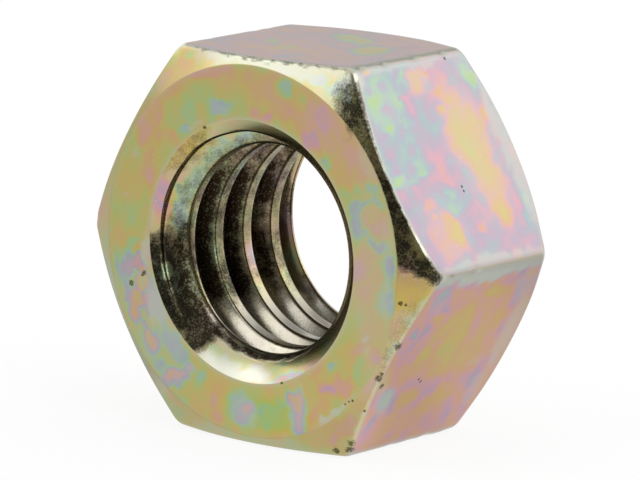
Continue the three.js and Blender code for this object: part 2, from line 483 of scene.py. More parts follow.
# Patches, in tenths of a millimetre from the middle of their surface: where the middle of each one
# is, its two half sizes, then the phase in it, and its turn in degrees if it has one. Later ones lie
# over earlier ones. The slopes are the front chamfer and the front countersink.
FILM_PATCHES = {
    "front": [
        (3, -50, 26, 8, 0.93), (32, 42, 24, 10, 1.15, -40), (0, 55, 16, 4, 1.05), (49, -10, 7, 20, 1.07),
        # Left side, from the olive middle up through orange and pink clouds
        (-56, 10, 9, 15, 0.93), (-44, 43, 9.5, 3.5, 1.12, 50), (-32, 49, 7, 2.5, 1.1, 22),
        (-46, 33, 4, 5, 1.25), (-42, 23, 3, 7.5, 1.22), (-20, 56, 11, 2.5, 1.26, 12),
        (-22, 47, 8, 3.5, 0.86, 25), (-27, 42, 4.5, 2.5, 0.78, 30), (-13.5, 46, 5, 2.8, 0.6, 15),
        (-33.5, 38, 5, 3.5, 0.72, 40), (-28.5, 36, 3, 2, 0.62, 30), (-50, 44, 3, 2, 0.75, 50),
        # Top
        (-5, 56, 6, 2.2, 1.14), (-3, 47, 5, 3, 0.95), (4, 44.5, 5, 1.8, 1.3), (14, 54.5, 3, 3.5, 0.68),
        (20, 51, 3, 3, 0.96), (12, 47, 4, 2.5, 1.1), (28, 47, 7, 3.5, 1.26, -35),
        (25, 39.5, 5, 2.5, 1.34, -35), (37, 44, 5, 3.5, 1.2, -45), (42, 36, 4.5, 4, 1.3, -45),
        (36, 33, 3.5, 2.5, 1.1), (31.5, 35.5, 3, 1.6, 0.93, -30), (31, 32, 1.7, 2.2, 0.66),
        (46, 32, 3.5, 2.5, 1.18), (37, 28.5, 3.5, 1.8, 1.1), (41, 25, 6.5, 1.6, 0.86, 8),
        (38, 24, 2, 1.2, 0.74), (50, 27, 3, 2, 0.72),
        # The corner-shaped island beside the hole
        (48, 22.2, 8, 1.2, 0.5, 8), (43.5, 16, 3, 6.5, 0.6), (47.5, 12, 3.5, 2, 0.68),
        (51.5, 17, 5, 5, 1.28, -20), (51, 19, 5, 2.8, 1.05), (53, 14.5, 2.5, 3.5, 1.12),
        (52, 9, 4.5, 1.2, 0.5, 5), (45, 6.5, 3.5, 2, 1.04), (48.5, 3.5, 4, 3.5, 1.2),
        (45, -0.5, 2, 3.5, 1.32), (54.5, 3.5, 2, 3, 0.82), (58, 2, 2.2, 6, 0.58),
        # Right side, downwards
        (51.5, -3, 2.2, 11, 1.02), (55, -6, 1.8, 8, 0.7), (58, -7, 2, 6, 0.56), (46, -13.5, 5, 4, 0.94),
        (42, -23, 2.5, 5, 1.06), (45, -24.5, 2, 2.5, 1.25), (52.5, -27, 2.5, 2, 1.3),
        (45.5, -33, 2, 5, 0.86, -20), (39.5, -37.5, 3.5, 4, 1.3, -40), (33.5, -41, 3.5, 2, 1.3),
        (32, -35, 4, 2, 0.84, 20), (34.5, -33.5, 2, 1.3, 0.62), (30, -48, 5, 2.5, 1.07, 50),
        # Bottom: a drop, a wedge, and green between them
        (7, -53, 5, 5, 0.76, 20), (12, -54, 4, 4, 0.84), (11, -47.5, 4, 2, 0.82, -20),
        (-3.5, -51, 5, 6, 0.68, 30), (-2.5, -54, 3, 4.5, 0.5, 25), (-1, -51.5, 2.4, 2, 0.34, 20),
        (-5.5, -48, 3, 1.4, 0.62, 20), (19, -45.5, 6, 3.4, 0.6, -14), (20.2, -49.5, 4.6, 4, 0.55),
        (21.2, -54, 3.7, 4, 0.5, 6), (19, -45, 4.6, 2.2, 0.34, -14), (20.2, -48.5, 3.4, 3, 0.34),
        (21, -53, 2, 3, 0.34, 6), (19, -44.5, 3.6, 1.4, 0.1, -14), (20.2, -48, 2.2, 2.2, 0.16),
        (-11, -47, 3, 3, 1.04), (-12, -56.5, 4, 2, 1.17), (-14.5, -50.5, 1, 3, 1.2),
        (-16, -44, 2.5, 3.5, 1.04), (-29.5, -51.5, 3, 1.6, 0.76, -30),
        # Lower left: islands with ochre and pink middles in a grey and teal channel
        (-50, -4.2, 5, 1.3, 0.76, 40), (-55, -13, 1.3, 7, 0.7, 5), (-52, -11, 2.2, 5, 0.5, -15),
        (-47.5, -8.5, 3, 1.2, 0.33, 30), (-46, -10, 2.5, 1.2, 0.14, 30), (-46, -15, 3.5, 3, 0.05),
        (-52.5, -21, 1.6, 4.5, 0.44, 10), (-48.5, -21.5, 2.5, 4, 0.03, 10), (-44, -22, 2.5, 3.5, 0.3),
        (-49, -26, 2, 3, 0.15, 20), (-47, -30, 3.5, 1, 0.32), (-39, -22, 3, 9, 0.48, 25),
        (-32, -35, 7.5, 4, 0.58, -45), (-42, -35, 4.2, 6, 0.42, 25), (-42, -34.5, 2.4, 3.8, 0.12, 25),
        (-38, -42, 2.5, 2.5, 0.55), (-32, -45.5, 6, 3.6, 0.46, 12), (-32, -44.5, 4.2, 1.8, 0.22, 15),
        (-25, -41.5, 3.2, 1.6, 0.48), (-20.5, -45, 2.8, 3.5, 0.68), (-23.5, -47.5, 2.5, 1.8, 0.87),
    ],
    "slopes": [
        (-35, -19, 8, 16, 0.82, 30), (-24, 34, 11, 3, 1, 38), (-13, 39.5, 8, 2.5, 0.96, 18),
        (-33, 25.5, 3, 4.5, 1.04, -38), (-37.5, 17.5, 3, 5, 1.26, -24), (-36, 20, 1.5, 2, 1),
        (-40.5, 8, 3, 4.5, 1.3), (-41, 1.5, 3, 2, 1.1), (10, -34, 12, 2.5, 0.8, 5),
        (16, -39, 9, 1.8, 0.25, 15), (-8, -34, 7, 2.5, 0.85, -10), (0, 41, 20, 4, 1.02),
        (-35.2, 7.5, 2.4, 9, 0.69, -10), (-31, 18, 2.4, 8, 0.69, -30), (-24, 27, 2.4, 9, 0.7, -48),
        (-12, 34, 9, 2, 0.71, 18), (39, -52, 5, 4, 1.1, 50), (-32, 57.5, 4, 2.5, 1.08, 30),
        (-36, 54, 2.5, 2, 0.66, 40), (33, 57.5, 3.5, 2.2, 0.68, -10), (36.5, 54.5, 2.2, 2.2, 0.6),
        (26, 58.5, 4, 1.2, 0.5, -8), (65, 1, 6, 3.5, 1.02), (63, 3.5, 3.5, 2.5, 1.13),
        (3, -36.8, 16, 1, 0.8, 8), (-16, -35.5, 5, 2, 0.85, -25), (65, -5, 5, 5, 0.97),
        (60, -16, 4, 6, 1.12, -15), (55.5, -26, 3, 6, 1.03, -25), (50, -36, 3.5, 5, 1.27, -35),
        (46, -43, 3, 4, 1.1, -40), (41, -52, 4, 5, 1.2, -45), (66, -8.5, 2, 5.5, 0.93, -20),
        # The first of these tints the painted highlight along the lower right edge
        (54.2, -31.3, 1, 33, 0.93, -30), (0, 63, 36, 3, 0.97), (-37, 53, 7, 2.5, 1.1, 50),
        (-30, 59.5, 3, 1.2, 0.75, 20), (-53, -30.5, 5, 24, 0.86, 30), (0, -62, 30, 3.5, 0.9),
        (-10, -33.2, 9, 2, 0.72, -18), (6, -36.2, 6, 1.4, 0.62, 5), (2, -37.4, 15, 1.4, 0.86),
        (18, -34, 7, 2, 0.87, 28), (29, -27, 7, 3, 0.9, 46), (34, -57.2, 3, 2, 1.2, 30),
        (-33, -57.5, 9, 3.5, 0.9, -30),
    ],
    "upper_right": [
        # Green rings with blue middles
        (-20, 24, 10, 9.5, 0.7), (-25, 25, 3, 2, 0.76), (-14.5, 22, 2, 3, 0.73),
        (-22, 14.5, 3, 1.2, 0.73, -20), (-26, 28, 1.6, 1.6, 0.53), (-17.5, 27.5, 2.6, 2, 0.55),
        (-19.5, 20, 3, 2.8, 0.47), (-11, 23.5, 3, 1.4, 0.44, 10), (-8, 28.5, 2.5, 1.5, 0.68),
        # Blue and lavender on the left
        (-20, 8.5, 12, 5, 0.53), (-12, 16.5, 4.5, 3, 0.6), (-25, 6.5, 4, 3, 0.45),
        (-16, 6.5, 2.5, 2.2, 0.43), (-14, 1.5, 5, 2.5, 0.62), (-19, -2, 10, 1.6, 0.68),
        (-28.5, -2.5, 4, 2, 0.77), (-26, -6, 4, 1.6, 0.56), (-6.5, -9, 3, 2.2, 0.66, -30),
        (-1, -11, 3.5, 4, 0.52), (-6, -14.5, 3, 3, 0.55),
        # Middle
        (-3, 7, 5, 5, 0.41), (3, 4, 3, 5, 0.4), (-1, 18, 5, 3, 0.44, 30), (-4, -25, 3.5, 5, 0.5),
        (2.5, -23.5, 2.5, 2.2, 0.26), (4, -18, 3, 3, 0.4), (4, -29, 8, 2.5, 0.46),
        (15, -28.5, 6, 3, 0.46),
        # Top
        (-3, 27.5, 4.2, 4.2, 0.2), (3, 30, 4, 2, 0.25), (11, 28, 5, 3.5, 0.4), (18, 28, 3.5, 4, 0.5),
        (25, 26, 2.8, 5, 0.7),
        # The large yellow cloud on the right, and the one at the lower left
        (9, 23, 8, 2.5, 0.24), (13, 7, 10, 13, 0.14, 8), (13.5, 6, 7.5, 11.5, 0.03, 5),
        (5, 17.5, 3.5, 1.2, 0, -15), (13, 20.5, 5, 1.6, 0.1), (22.5, 9, 2.5, 4, 0.13),
        (25, 13, 2.5, 3, 0.26), (25.5, 4.5, 2.2, 3, 0.42), (15, -11, 7, 8, 0.22), (15, -6, 6, 4, 0.1),
        (15, -20, 5, 5, 0.16), (14, -19.5, 2.5, 3, 0.04), (23, -19, 3, 5, 0.36), (26, -25, 2.5, 4, 0.56),
        (-17, -21, 8.5, 11, 0.36, 12), (-19, -12, 3, 2.5, 0.18), (-13, -21, 4.2, 7.5, 0.14, 10),
        (-23, 34.2, 2, 1, 0.12), (-10.5, -21.5, 2.5, 5, 0.05), (-19, -17, 2.5, 2, 0.08),
        (-19.5, -26, 2.5, 5, 0.32),
    ],
    "top": [
        (2, -19, 9, 7, 0.95, 25), (17, 2, 5.5, 9, 0.82, -30), (14, -7, 8, 3, 0.9, 30),
        (-11, 5, 4, 3.5, 0.02, 45), (-5, 15.5, 2, 6, 0.93, -40), (-22, -19, 4, 3, 0.28),
        (-16, -24, 5, 4, 0.28), (17, -24, 5, 3, 0.33, 30), (-19, 15, 3, 4, 0.25, -40),
        (-11, 29, 6, 3, 0.4), (13, 29, 6, 3, 0.32), (-24, -6, 5, 3, 0.58),
    ],
    "lower_right": [
        # Pink and mauve round the edges
        (0, 34, 32, 2.5, 0.6), (14, -27, 12, 5, 0.3), (-24.5, 3, 3.5, 11, 0.37), (-21, 25, 5.5, 6, 0.41),
        (-10, 31.5, 4, 1.8, 0.37, -15), (17, 29, 3.5, 2.5, 0.3), (22, 22, 5, 6, 0.36),
        (21, 7, 2.5, 4, 0.33), (23, -16, 4.5, 7, 0.37), (-25, -27, 2.5, 4, 0.34), (-23, 15.5, 3, 2, 0.44),
        (-28.5, 14, 1.3, 2.5, 0.62),
        # Tan and salmon
        (12, 4, 9, 16, 0.15), (-12, 27.5, 4.5, 2.8, 0.2, -20), (-17, -28.5, 5, 4, 0.22),
        (-21, 8.5, 1.5, 3, 0.2), (7, -17, 8, 4, 0.14), (-9, -33, 4, 1, 0.1), (0, 30.5, 5, 1.3, 0.15),
        (-15, 21.5, 4.5, 1.3, 0.42, -20),
        # The ochre middle
        (-2, 6, 7.5, 15, 0.03, 5), (-15, 5, 3.8, 5, 0, -30), (-12, 12, 4, 3, 0.03, -45),
        (-17, 18, 3.5, 1.8, 0.08, -20), (8, 25, 7.5, 2.8, 0.04, -22), (-11, -14.5, 5.5, 3.8, 0.05),
        (-11, 6.5, 1.2, 2, 0.27), (-7, -3, 1.6, 3, 0.25),
        # Teal and blue at the left edge
        (-24.5, -13.5, 3.5, 5, 0.57, 30), (-25, -20.5, 2.5, 2.5, 0.44),
        (-17.5, -17.5, 1.5, 3.5, 0.36, 20),
    ],
}

# The patches of the surfaces that face away: how many on each, how far out, and their ranges
STRAY_SURFACES = ["back", "upper_left", "lower_left", "bottom"]
STRAY_PATCHES = 16
STRAY_BACK_REACH = 55
STRAY_FLAT_REACH = 30
STRAY_HALF_SIZES = 3, 9
STRAY_TURNS = 0, 90
STRAY_PHASE_RANGE = 0.34

# Grey and pale places, in the same way, with the greyness in them. Some are painted highlights, pale
# so that the light shows white: the chamfer's top band, the countersink's bottom by its mouth, a line
# along the lower right edge, and the upper right flat's front upper corner
GREY_PATCHES = {
    "front": [
        (35, 42, 20, 9, 0.26, -40), (50, 0, 8, 32, 0.43), (0, 53, 16, 6, 0.22),
        (-45, -30, 13, 22, 0.34, 30), (-26, 41, 12, 6, 0.2, 35), (10, -52, 18, 6, 0),
        (-39, -23, 4.5, 10, 0.85, 25), (-33.5, -33, 7, 4, 0.5, -45), (-44, -5, 2.5, 5, 0.75),
        (-45.5, -14, 3.5, 3.5, 0.5), (56.5, -7, 2.5, 9, 0.55), (48, -22, 2.2, 1.2, 0.85, 30),
        (48, -26, 1.5, 1.2, 0.6), (44, 16, 2.5, 7, 0.4), (56, 11, 3, 9, 0.5), (-14, 45.5, 3.5, 2, 0.45),
        (-49, 25.5, 1.4, 2.2, 0.5), (-54, 11, 1.8, 0.7, 0.45), (49, 36, 3.5, 6, 0.5, 35),
        (-25, 38, 4, 1.2, 0.5, 40), (50, -29, 2, 3, 0.4), (35, -49, 12, 0.9, 0.75, 47),
        (-58, -20, 2, 8, 0.5, 15), (-2, -52.5, 5, 6, 0.5, 20), (20.2, -48.5, 5, 8.5, 0.45),
        (-32, -45, 6, 3.5, 0.42, 12), (-42, -35, 4.5, 6, 0.45, 25), (-52, -16, 3, 9, 0.42),
        (-25, -41.5, 3.5, 2, 0.5),
    ],
    "slopes": [
        # Painted highlights: the chamfer's top band, and the countersink's bottom by its mouth
        (5, 62, 34, 3, 0.85), (-13, -39, 12, 2.2, 0.95, -18), (1, -40.8, 10, 2.4, 0.95, 3),
        (32, 54, 8, 4, 0.55, -35), (-30.5, 18, 2.5, 18, 0.38, -30), (24, -32, 8, 3, 0.3, 40),
        (-28, 31.5, 15, 3, 0.14, 40), (-39, 12, 3, 9, 0.15, -12), (50, -36, 4, 7, 0.4, -35),
        (64, -6, 5, 7, 0.08, -10), (60.5, -16, 4, 6, 0.35, -15), (44, -49, 4, 5, 0.3, -40),
        (-9, -33.5, 9, 2.2, 0.4, -15), (55.5, -27, 4, 10, 0.35, -28), (-53, -30.5, 5, 26, 0.6, 30),
        (0, -62, 32, 3.5, 0.5), (-46.5, 46.5, 12, 4, 0.42, 45), (-40, -49, 6, 6, 0.6, 40),
        (6, -37, 14, 1.3, 0.3, 5), (-33, -57.5, 9, 3.5, 0.25, -30), (35, 59.5, 4, 3.5, 0.9, -30),
        # Painted highlights: a line along the lower right edge, and the chamfer's top band
        (54.2, -31.3, 0.85, 33, 0.7, -30), (16, 59.5, 15, 2, 0.88, -5),
    ],
    "upper_right": [
        (13, 3, 13, 26, 0.42), (-15, -21, 10, 12, 0.36, 10), (-1, 28, 7, 5, 0.45),
        (29.5, 0, 3.5, 34, 0.65), (24, 29, 5, 4, 0.4), (-22, 23, 9, 9, 0.32), (-26, -3, 5, 3, 0.35),
        # The last of these is a painted highlight at the flat's front upper corner
        (0, -34.5, 32, 2.2, 0.62), (0, 34, 32, 2, 0.6), (-29, 32, 3.5, 4, 0.9),
    ],
    "lower_right": [
        (28, 5, 4, 18, 0.55), (24, 25, 6, 8, 0.4), (-29, -9, 2, 8, 0.45), (25, -18, 4, 7, 0.4),
        (-24, -14, 4, 6, 0.55, 30), (17, -5, 5, 2, 0.3, -20), (0, 34.2, 34, 3, 0.88),
        (-21, 26, 5, 5, 0.3),
    ],
    "top": [(2, -19, 8, 6, 0.45, 25), (17, -24, 5, 3, 0.4, 30)],
}

# Dark and rough places, in the same way, with how dark they are. On the slopes most of them are
# painted: a painted reflection of the dark room on the chamfer's upper right, and painted shade on
# the countersink's lower left, where the thread begins. One is a thin dark line along the chamfer's
# top edge, and the rest are mottled darkening.
BLACK_PATCHES = {
    "slopes": [
        (43.5, 47.5, 6, 15, 0.8, 42), (51.5, 33, 6, 15, 0.52, 32), (57.5, 20, 6, 13, 0.8, 20),
        (61.5, 11, 5, 7.5, 0.8, 5), (66.2, 4.5, 3.5, 3.5, 0.8, 30), (39.5, 54, 4, 5, 0.8, 42),
        (69.5, 2.5, 2.5, 3.5, 0.8), (0, 62.85, 35, 0.55, 0.4), (59.5, -21, 4, 17, 0.12, -28),
        (-29.5, 17, 3.5, 18, 0.28, -32), (-29, 29, 13, 3, 0.2, 42), (-36, -16, 8, 13, 0.82, 25),
        (-27.5, -27.5, 10, 5, 0.85, -42), (-23, -30, 5, 3.3, 0.82), (-40.5, -7, 3, 9, 0.85, 5),
        (-35, -5, 3, 11, 0.8), (-37.5, -12, 1.2, 3, 0.35, 10),
    ],
    "front": [(40, 45.5, 1.6, 4, 0.45, -20)],
}

# The patches' unit, and where a patch ends and over what width, in half sizes
PATCH_UNIT = 0.1
PATCH_EDGE = 1.3, 0.75

# What makes the patches' edges waver: how far, in waves of what size, and their seeds. These and
# the lengths that follow are in millimetres.
PATCH_SHIFTS = [(0.07, 0.8, (1, 2, 3)), (0.035, 0.28, (31, 32, 33))]

# Clouds: how strong each layer of waves is, its size, and its seed
UNSEEN_PHASE = [(0.16, 3.0, 21), (0.08, 1.2, 22)]
UNSEEN_GREY = [(0.1, 1.7, 23)]
FRONT_STREAKS = [(0.04, 0.4, 25)]
STREAK_STRETCH = 1, 1, 0.3
PHASE_CLOUDS = [(0.04, 1.6, 4), (0.035, 0.5, 5)]
THREAD_CLOUDS = [(0.11, 1.4, 8)]
OIL_AND_SHADE_CLOUDS = [(0.16, 2.0, 6)]
SPOT_CLOUDS = [(1.0, 2.0, 24), (0.5, 0.7, 26)]
RING_CLOUDS = [(0.02, 0.8, 1)]

# Where things begin or end on the nut, and over what width
OUTSIDE_FROM = 4.1, 0.1  # radii
HOLE_TO = 4.35, 0.1
SLOPES_FROM = 3.3, 0.15
SIDES_FROM = 6.0, 0.2
RIM_TO = 4.45, 0.2
LIP_FROM = FACE_RADIUS / MM - 0.2, 0.2
GROOVES_FROM = THREAD_CREST / MM + 0.03, 0.14
THREAD_FROM = 0.3, 0.5  # depths below the nearer face
DARK_THREAD_FROM = 0.75, 0.4
FRONT_SLOPES_FROM = 1.8, 0.6  # distances from the middle, towards the front or the back
SPOTS_FROM = 2.2, 0.4
FRONT_RING_FROM = 2.3, 0.3
UPPER_FROM = 0, 1  # heights above or below the middle
HIGH_FROM = 0.8, 1.6
LOW_FROM = 1.8, 1.0
LOW_RING_FROM = 0.9, 0.6
CORNER_TO = 0.3, 0.2  # distances from a corner, and from the chamfer
CORNER_FROM = 0.02, 0.08
EDGE_TO = 0.16, 0.14
FACING_FROM = 0.88, 0.08  # cosines between the outward direction and a surface's, or the bore's
BEND_TO = 0.8, 0.15
BEND_FROM = 0.05, 0.1
SPOT_LEVEL = 0.3, 1.6
RING_RADIUS = 3.54
RING_TO = 0.1125, 0.075

# How much greyer the edges are, and how much of that is left on the bends of the lower half
EDGE_GREY = 0.42
BEND_GREY = 0.6
LOWER_BEND = 0.3
CORNER_GREY = 0.4
RIM_GREY = 0.4
LIP_GREY = 0.15

# What the greyness and the phase turn into low in the hole, and by what share: a painted highlight,
# pale and pink, on the lower threads
LOW_HIGHLIGHT_GREY = 0.9
LOW_HIGHLIGHT_GREY_SHARE = 0.85
LOW_HIGHLIGHT_PHASE = 1.33
LOW_HIGHLIGHT_PHASE_SHARE = 0.6

# How black the hole is, partly old oil and partly painted shade: its crests, its grooves beyond
# that, and its upper part, darker as painted shade, and its lower part, lighter under the painted
# highlight there; then the spots at its back and the ring at its front
CREST_OIL_AND_SHADE = 0.37
GROOVE_OIL_AND_SHADE = 0.56
HIGH_OIL_AND_SHADE = 0.52
HIGH_OIL_AND_SHADE_SHARE = 0.85
LOW_LIGHTER = 0.94
SPOT_DARKNESS = 0.42
RING_DARKNESS = 0.85


def waves(points, size, seed, count=14):
    """Smooth waves that run every way through space, about 1 high and of about a size."""
    dice = np.random.default_rng(seed)
    ways = dice.normal(size=(count, 3)) * (math.pi / size)
    starts = dice.uniform(0, 2 * math.pi, count)
    return np.sin(points @ ways.T + starts).sum(axis=1) / math.sqrt(count / 2)


def clouds(points, layers):
    """Layers of waves, added up."""
    return sum(strength * waves(points, size, seed) for strength, size, seed in layers)


def painted(values, points, share, patches, stepped=()):
    """Values with each patch laid over them in turn, soft at its edge. Stepped surfaces get 1 more."""
    for surface, laid in patches.items():
        directions, _ = SURFACES[surface]
        places = points @ np.array(directions[:2]).T / PATCH_UNIT
        for middle_u, middle_v, half_u, half_v, value, *degrees in laid:
            turn = math.radians(degrees[0]) if degrees else 0
            u, v = places[:, 0] - middle_u, places[:, 1] - middle_v
            across = (u * math.cos(turn) + v * math.sin(turn)) / half_u
            along = (v * math.cos(turn) - u * math.sin(turn)) / half_v
            cover = fall(np.hypot(across, along), *PATCH_EDGE) * share[surface]
            values = blend(values, value + (surface in stepped), cover)
    return values


def stray_patches():
    """Patches for the surfaces that face away, of the same kinds as the others."""
    dice = random.Random(7)
    strays = {}
    for surface in STRAY_SURFACES:
        reach = STRAY_BACK_REACH if surface == "back" else STRAY_FLAT_REACH
        strays[surface] = []
        for _ in range(STRAY_PATCHES):
            middle = [dice.uniform(-reach, reach) for _ in range(2)]
            halves = [dice.uniform(*STRAY_HALF_SIZES) for _ in range(2)]
            degrees = dice.uniform(*STRAY_TURNS)
            value = PHASE[surface] + dice.uniform(-STRAY_PHASE_RANGE, STRAY_PHASE_RANGE)
            strays[surface].append((*middle, *halves, value, degrees))
    return strays


def store(mesh, name, values):
    """Keeps one number for each point of a mesh, for the materials."""
    attribute = mesh.attributes.new(name, "FLOAT", "POINT")
    attribute.data.foreach_set("value", values.astype(np.float32))


def lay_film(mesh):
    """Stores the film's phase on the mesh, how grey and satin it is, its oil and painted shade, and its
    grooves.
    """
    points = (vectors_of(mesh.vertices, "co") - np.array(CENTRE)) / MM
    normals = vectors_of(mesh.vertex_normals, "vector")
    x, height, z = points.T
    radius = np.hypot(x, z)
    depth = FACE / MM - np.abs(height)

    outside = rise(radius, *OUTSIDE_FROM)
    share = {}
    for surface in PHASE:
        directions, _ = SURFACES[surface]
        share[surface] = rise(normals @ np.array(directions[2]), *FACING_FROM) * outside
    satin = sum(share.values())
    rest = 1 - satin
    faces = share["front"] + share["back"]
    unseen = sum(share[surface] for surface in STRAY_SURFACES)
    in_hole = fall(radius, *HOLE_TO)
    threaded = rise(depth, *THREAD_FROM)
    tapped = in_hole * threaded
    phase = rest * blend(CHAMFER_PHASE, blend(COUNTERSINK_PHASE, THREAD_PHASE, threaded), in_hole)
    grey = rest * blend(CHAMFER_GREYNESS, HOLE_GREYNESS, in_hole)
    for surface, cover in share.items():
        phase = phase + cover * PHASE[surface]
        grey = grey + cover * GREYNESS[surface]
    share["slopes"] = rest * rise(-height, *FRONT_SLOPES_FROM) * rise(radius, *SLOPES_FROM)

    wavered = points
    for reach, size, seeds in PATCH_SHIFTS:
        wavered = wavered + reach * np.stack([waves(points, size, seed) for seed in seeds], axis=1)
    phase = phase + clouds(points, UNSEEN_PHASE) * unseen
    phase = phase + clouds(points * np.array(STREAK_STRETCH), FRONT_STREAKS) * share["front"]
    grey = grey + clouds(points, UNSEEN_GREY) * unseen
    phase = painted(phase, wavered, share, {**FILM_PATCHES, **stray_patches()}, STEPPED)
    phase = phase + clouds(points, PHASE_CLOUDS)
    phase = phase + clouds(points, THREAD_CLOUDS) * tapped * (1 - share["slopes"])

    # The film is thin and grey along the edges
    to_chamfer = depth - (radius - FACE_RADIUS / MM) * CHAMFER_SLOPE
    to_corner = radius * np.sin(off_corner(np.arctan2(z, x)))
    facing = np.abs(normals[:, 1])
    bend = fall(facing, *BEND_TO) * rise(facing, *BEND_FROM)
    bend = bend * blend(LOWER_BEND, 1, rise(z, *UPPER_FROM))
    corner = fall(to_corner, *CORNER_TO) * rise(to_chamfer, *CORNER_FROM)
    edge = np.maximum(fall(to_chamfer, *EDGE_TO) * satin, corner)
    worn = EDGE_GREY * edge + BEND_GREY * bend + CORNER_GREY * corner * rest
    grey = grey + worn * rise(radius, *SIDES_FROM) * (1 - faces)
    grey = grey + RIM_GREY * fall(radius, *RIM_TO) * faces
    grey = grey + LIP_GREY * rise(radius, *LIP_FROM) * faces
    grey = painted(grey, wavered, share, GREY_PATCHES)

    # The hole is darkened, partly as old oil and partly as painted shade, most in its grooves and its
    # upper part, and least low down, where its film is painted pale and pink as a painted highlight
    groove = rise(radius, *GROOVES_FROM) * tapped
    low = rise(-z, *LOW_FROM)
    grey = blend(grey, LOW_HIGHLIGHT_GREY, LOW_HIGHLIGHT_GREY_SHARE * low * tapped)
    phase = blend(phase, LOW_HIGHLIGHT_PHASE, LOW_HIGHLIGHT_PHASE_SHARE * low * tapped)
    soil = CREST_OIL_AND_SHADE + clouds(points, OIL_AND_SHADE_CLOUDS) + GROOVE_OIL_AND_SHADE * groove
    soil = blend(soil, HIGH_OIL_AND_SHADE, HIGH_OIL_AND_SHADE_SHARE * rise(z, *HIGH_FROM))
    soil = soil * in_hole * rise(depth, *DARK_THREAD_FROM) * (1 - LOW_LIGHTER * low)
    # The dark patches add a painted reflection on the chamfer and painted shade on the countersink
    soil = painted(soil, wavered, share, BLACK_PATCHES)
    spots = rise(clouds(points, SPOT_CLOUDS), *SPOT_LEVEL) * rise(height, *SPOTS_FROM)
    soil = np.maximum(soil, SPOT_DARKNESS * spots * in_hole)
    off_ring = np.abs(radius - RING_RADIUS - clouds(points, RING_CLOUDS))
    ring = fall(off_ring, *RING_TO) * rise(-height, *FRONT_RING_FROM) * rise(-z, *LOW_RING_FROM)
    soil = np.maximum(soil, RING_DARKNESS * ring)

    store(mesh, "film", phase)
    for name, values in (("grey", grey), ("satin", satin), ("soil", soil), ("hollow", groove)):
        store(mesh, name, np.clip(values, 0, 1))


# --- Materials ---
def paint(red, green, blue):
    """A colour given by its screen values from 0 to 255, on the sRGB curve."""
    def linear(value):
        share = value / 255
        return share / 12.92 if share <= 0.04045 else ((share + 0.055) / 1.055) ** 2.4
    return linear(red), linear(green), linear(blue), 1.0


# The film's colours, by its phase
FILM_TONES = [
    (0.0, paint(190, 165, 80)),
    (0.12, paint(195, 155, 95)),
    (0.25, paint(199, 146, 128)),
    (0.35, paint(190, 142, 158)),
    (0.45, paint(165, 145, 165)),
    (0.55, paint(144, 158, 168)),
    (0.65, paint(146, 173, 154)),
    (0.75, paint(150, 180, 120)),
    (0.87, paint(170, 175, 90)),
    (1.0, paint(190, 165, 80)),
]
BARE_ZINC = paint(182, 184, 172)
# The dark tone of old oil, pits, painted shade and painted reflections, and the darker one in the
# thread's hollows, which is painted shade
OIL_AND_SHADE_TONE = paint(50, 47, 35)
HOLLOW_OIL_AND_SHADE_TONE = paint(42, 31, 19)

# Pits and knocks in the plating, in millimetres from the middle of the nut, and how large each is
PITS = [
    (5.96, -3.2, -2.28, 0.19), (5.29, -3.33, -3.4, 0.2), (5.36, -3.3, -3.22, 0.1), (5.15, -3, -3.7, 0.15),
    (4.63, -3.2, -4.58, 0.1), (4.36, -3.2, -5.06, 0.1), (3.9, -3, -5.83, 0.24), (3.7, -2.8, -6, 0.2),
    (3.26, -2.95, -6.09, 0.16), (6.86, -3.25, -0.72, 0.12), (7.15, -2.75, -0.1, 0.16),
    (-4.5, -3.43, -1.3, 0.12), (-4.58, -3.43, -1.38, 0.07), (-5.05, -3.43, -1.72, 0.14),
    (-1.97, -3.43, 3.8, 0.09), (-1.8, -3.43, 3.78, 0.06), (6.13, -3.35, -0.82, 0.1),
    (6.3, -3.3, -0.86, 0.08), (1.37, -3.43, -4.08, 0.07), (4, -3.42, -4.38, 0.06),
    (4.16, -3.42, -4.28, 0.05), (4.3, -3.42, -4.22, 0.06), (5.88, 0, 2.41, 0.06), (5.96, 0, 2.28, 0.06),
    (3.76, 1.7, 6.09, 0.08), (5.08, -1.05, -3.8, 0.07), (5.02, -0.88, -3.9, 0.07),
]
# More are on the surfaces that face away, with the ranges of their places and sizes
HIDDEN_PITS = 10
PIT_ALONG = -3, 3
PIT_ACROSS = -3.3, 3.3
PIT_SIZES = 0.05, 0.11

# The noises in the finish: the size of their features, how many finer layers they have, and a seed
CLOUD_NOISE = 0.7 * MM, 3.0, 0.0
MOTTLE_NOISE = 0.35 * MM, 5.0, 6.0
GRAIN_NOISE = 0.07 * MM, 2.0, 3.0
SPECK_NOISE = 0.055 * MM, 1.0, 9.0
GLINT_NOISE = 0.11 * MM, 1.0, 12.0

# The levels at which specks, glints and pits begin, and how softly
SPECK_EDGE = 0.62, 0.12
GLINT_EDGE = 0.74, 0.06
PIT_EDGE = 0.3, 0.35

# How much each noise and each stored value counts in the phase, the greyness, the pits, the dark
# places of old oil and painted shade, the roughness and the bumps
PHASE_CLOUD = 0.14
PHASE_GRAIN = 0.1
GREY_CLOUD = 0.25
GREY_SPECK = 0.65
GREY_GLINT = 0.45
PIT_GRAIN = 1.2
PIT_DIRT = 0.8
PIT_SPECK = 0.5
DIRT_AND_SHADE_LEVEL = 1.2
DIRT_AND_SHADE_MOTTLE = 1.3
DIRT_AND_SHADE_ONSET = 6.0
DIRT_AND_SHADE_SPECK = 0.15
ROUGHNESS = 0.2
ROUGH_SATIN = 0.2
ROUGH_CLOUD = 0.08
ROUGH_DIRT = 0.15
BUMP_GRAIN = 0.5
BUMP_SATIN = 0.2
BUMP_CLOUD = 0.4
BUMP_MOTTLE = 4.0
BUMP_SOIL = 3.0
BUMP_PIT = 3.0
BUMP_STRENGTH = 0.6
BUMP_HEIGHT = 0.006 * MM


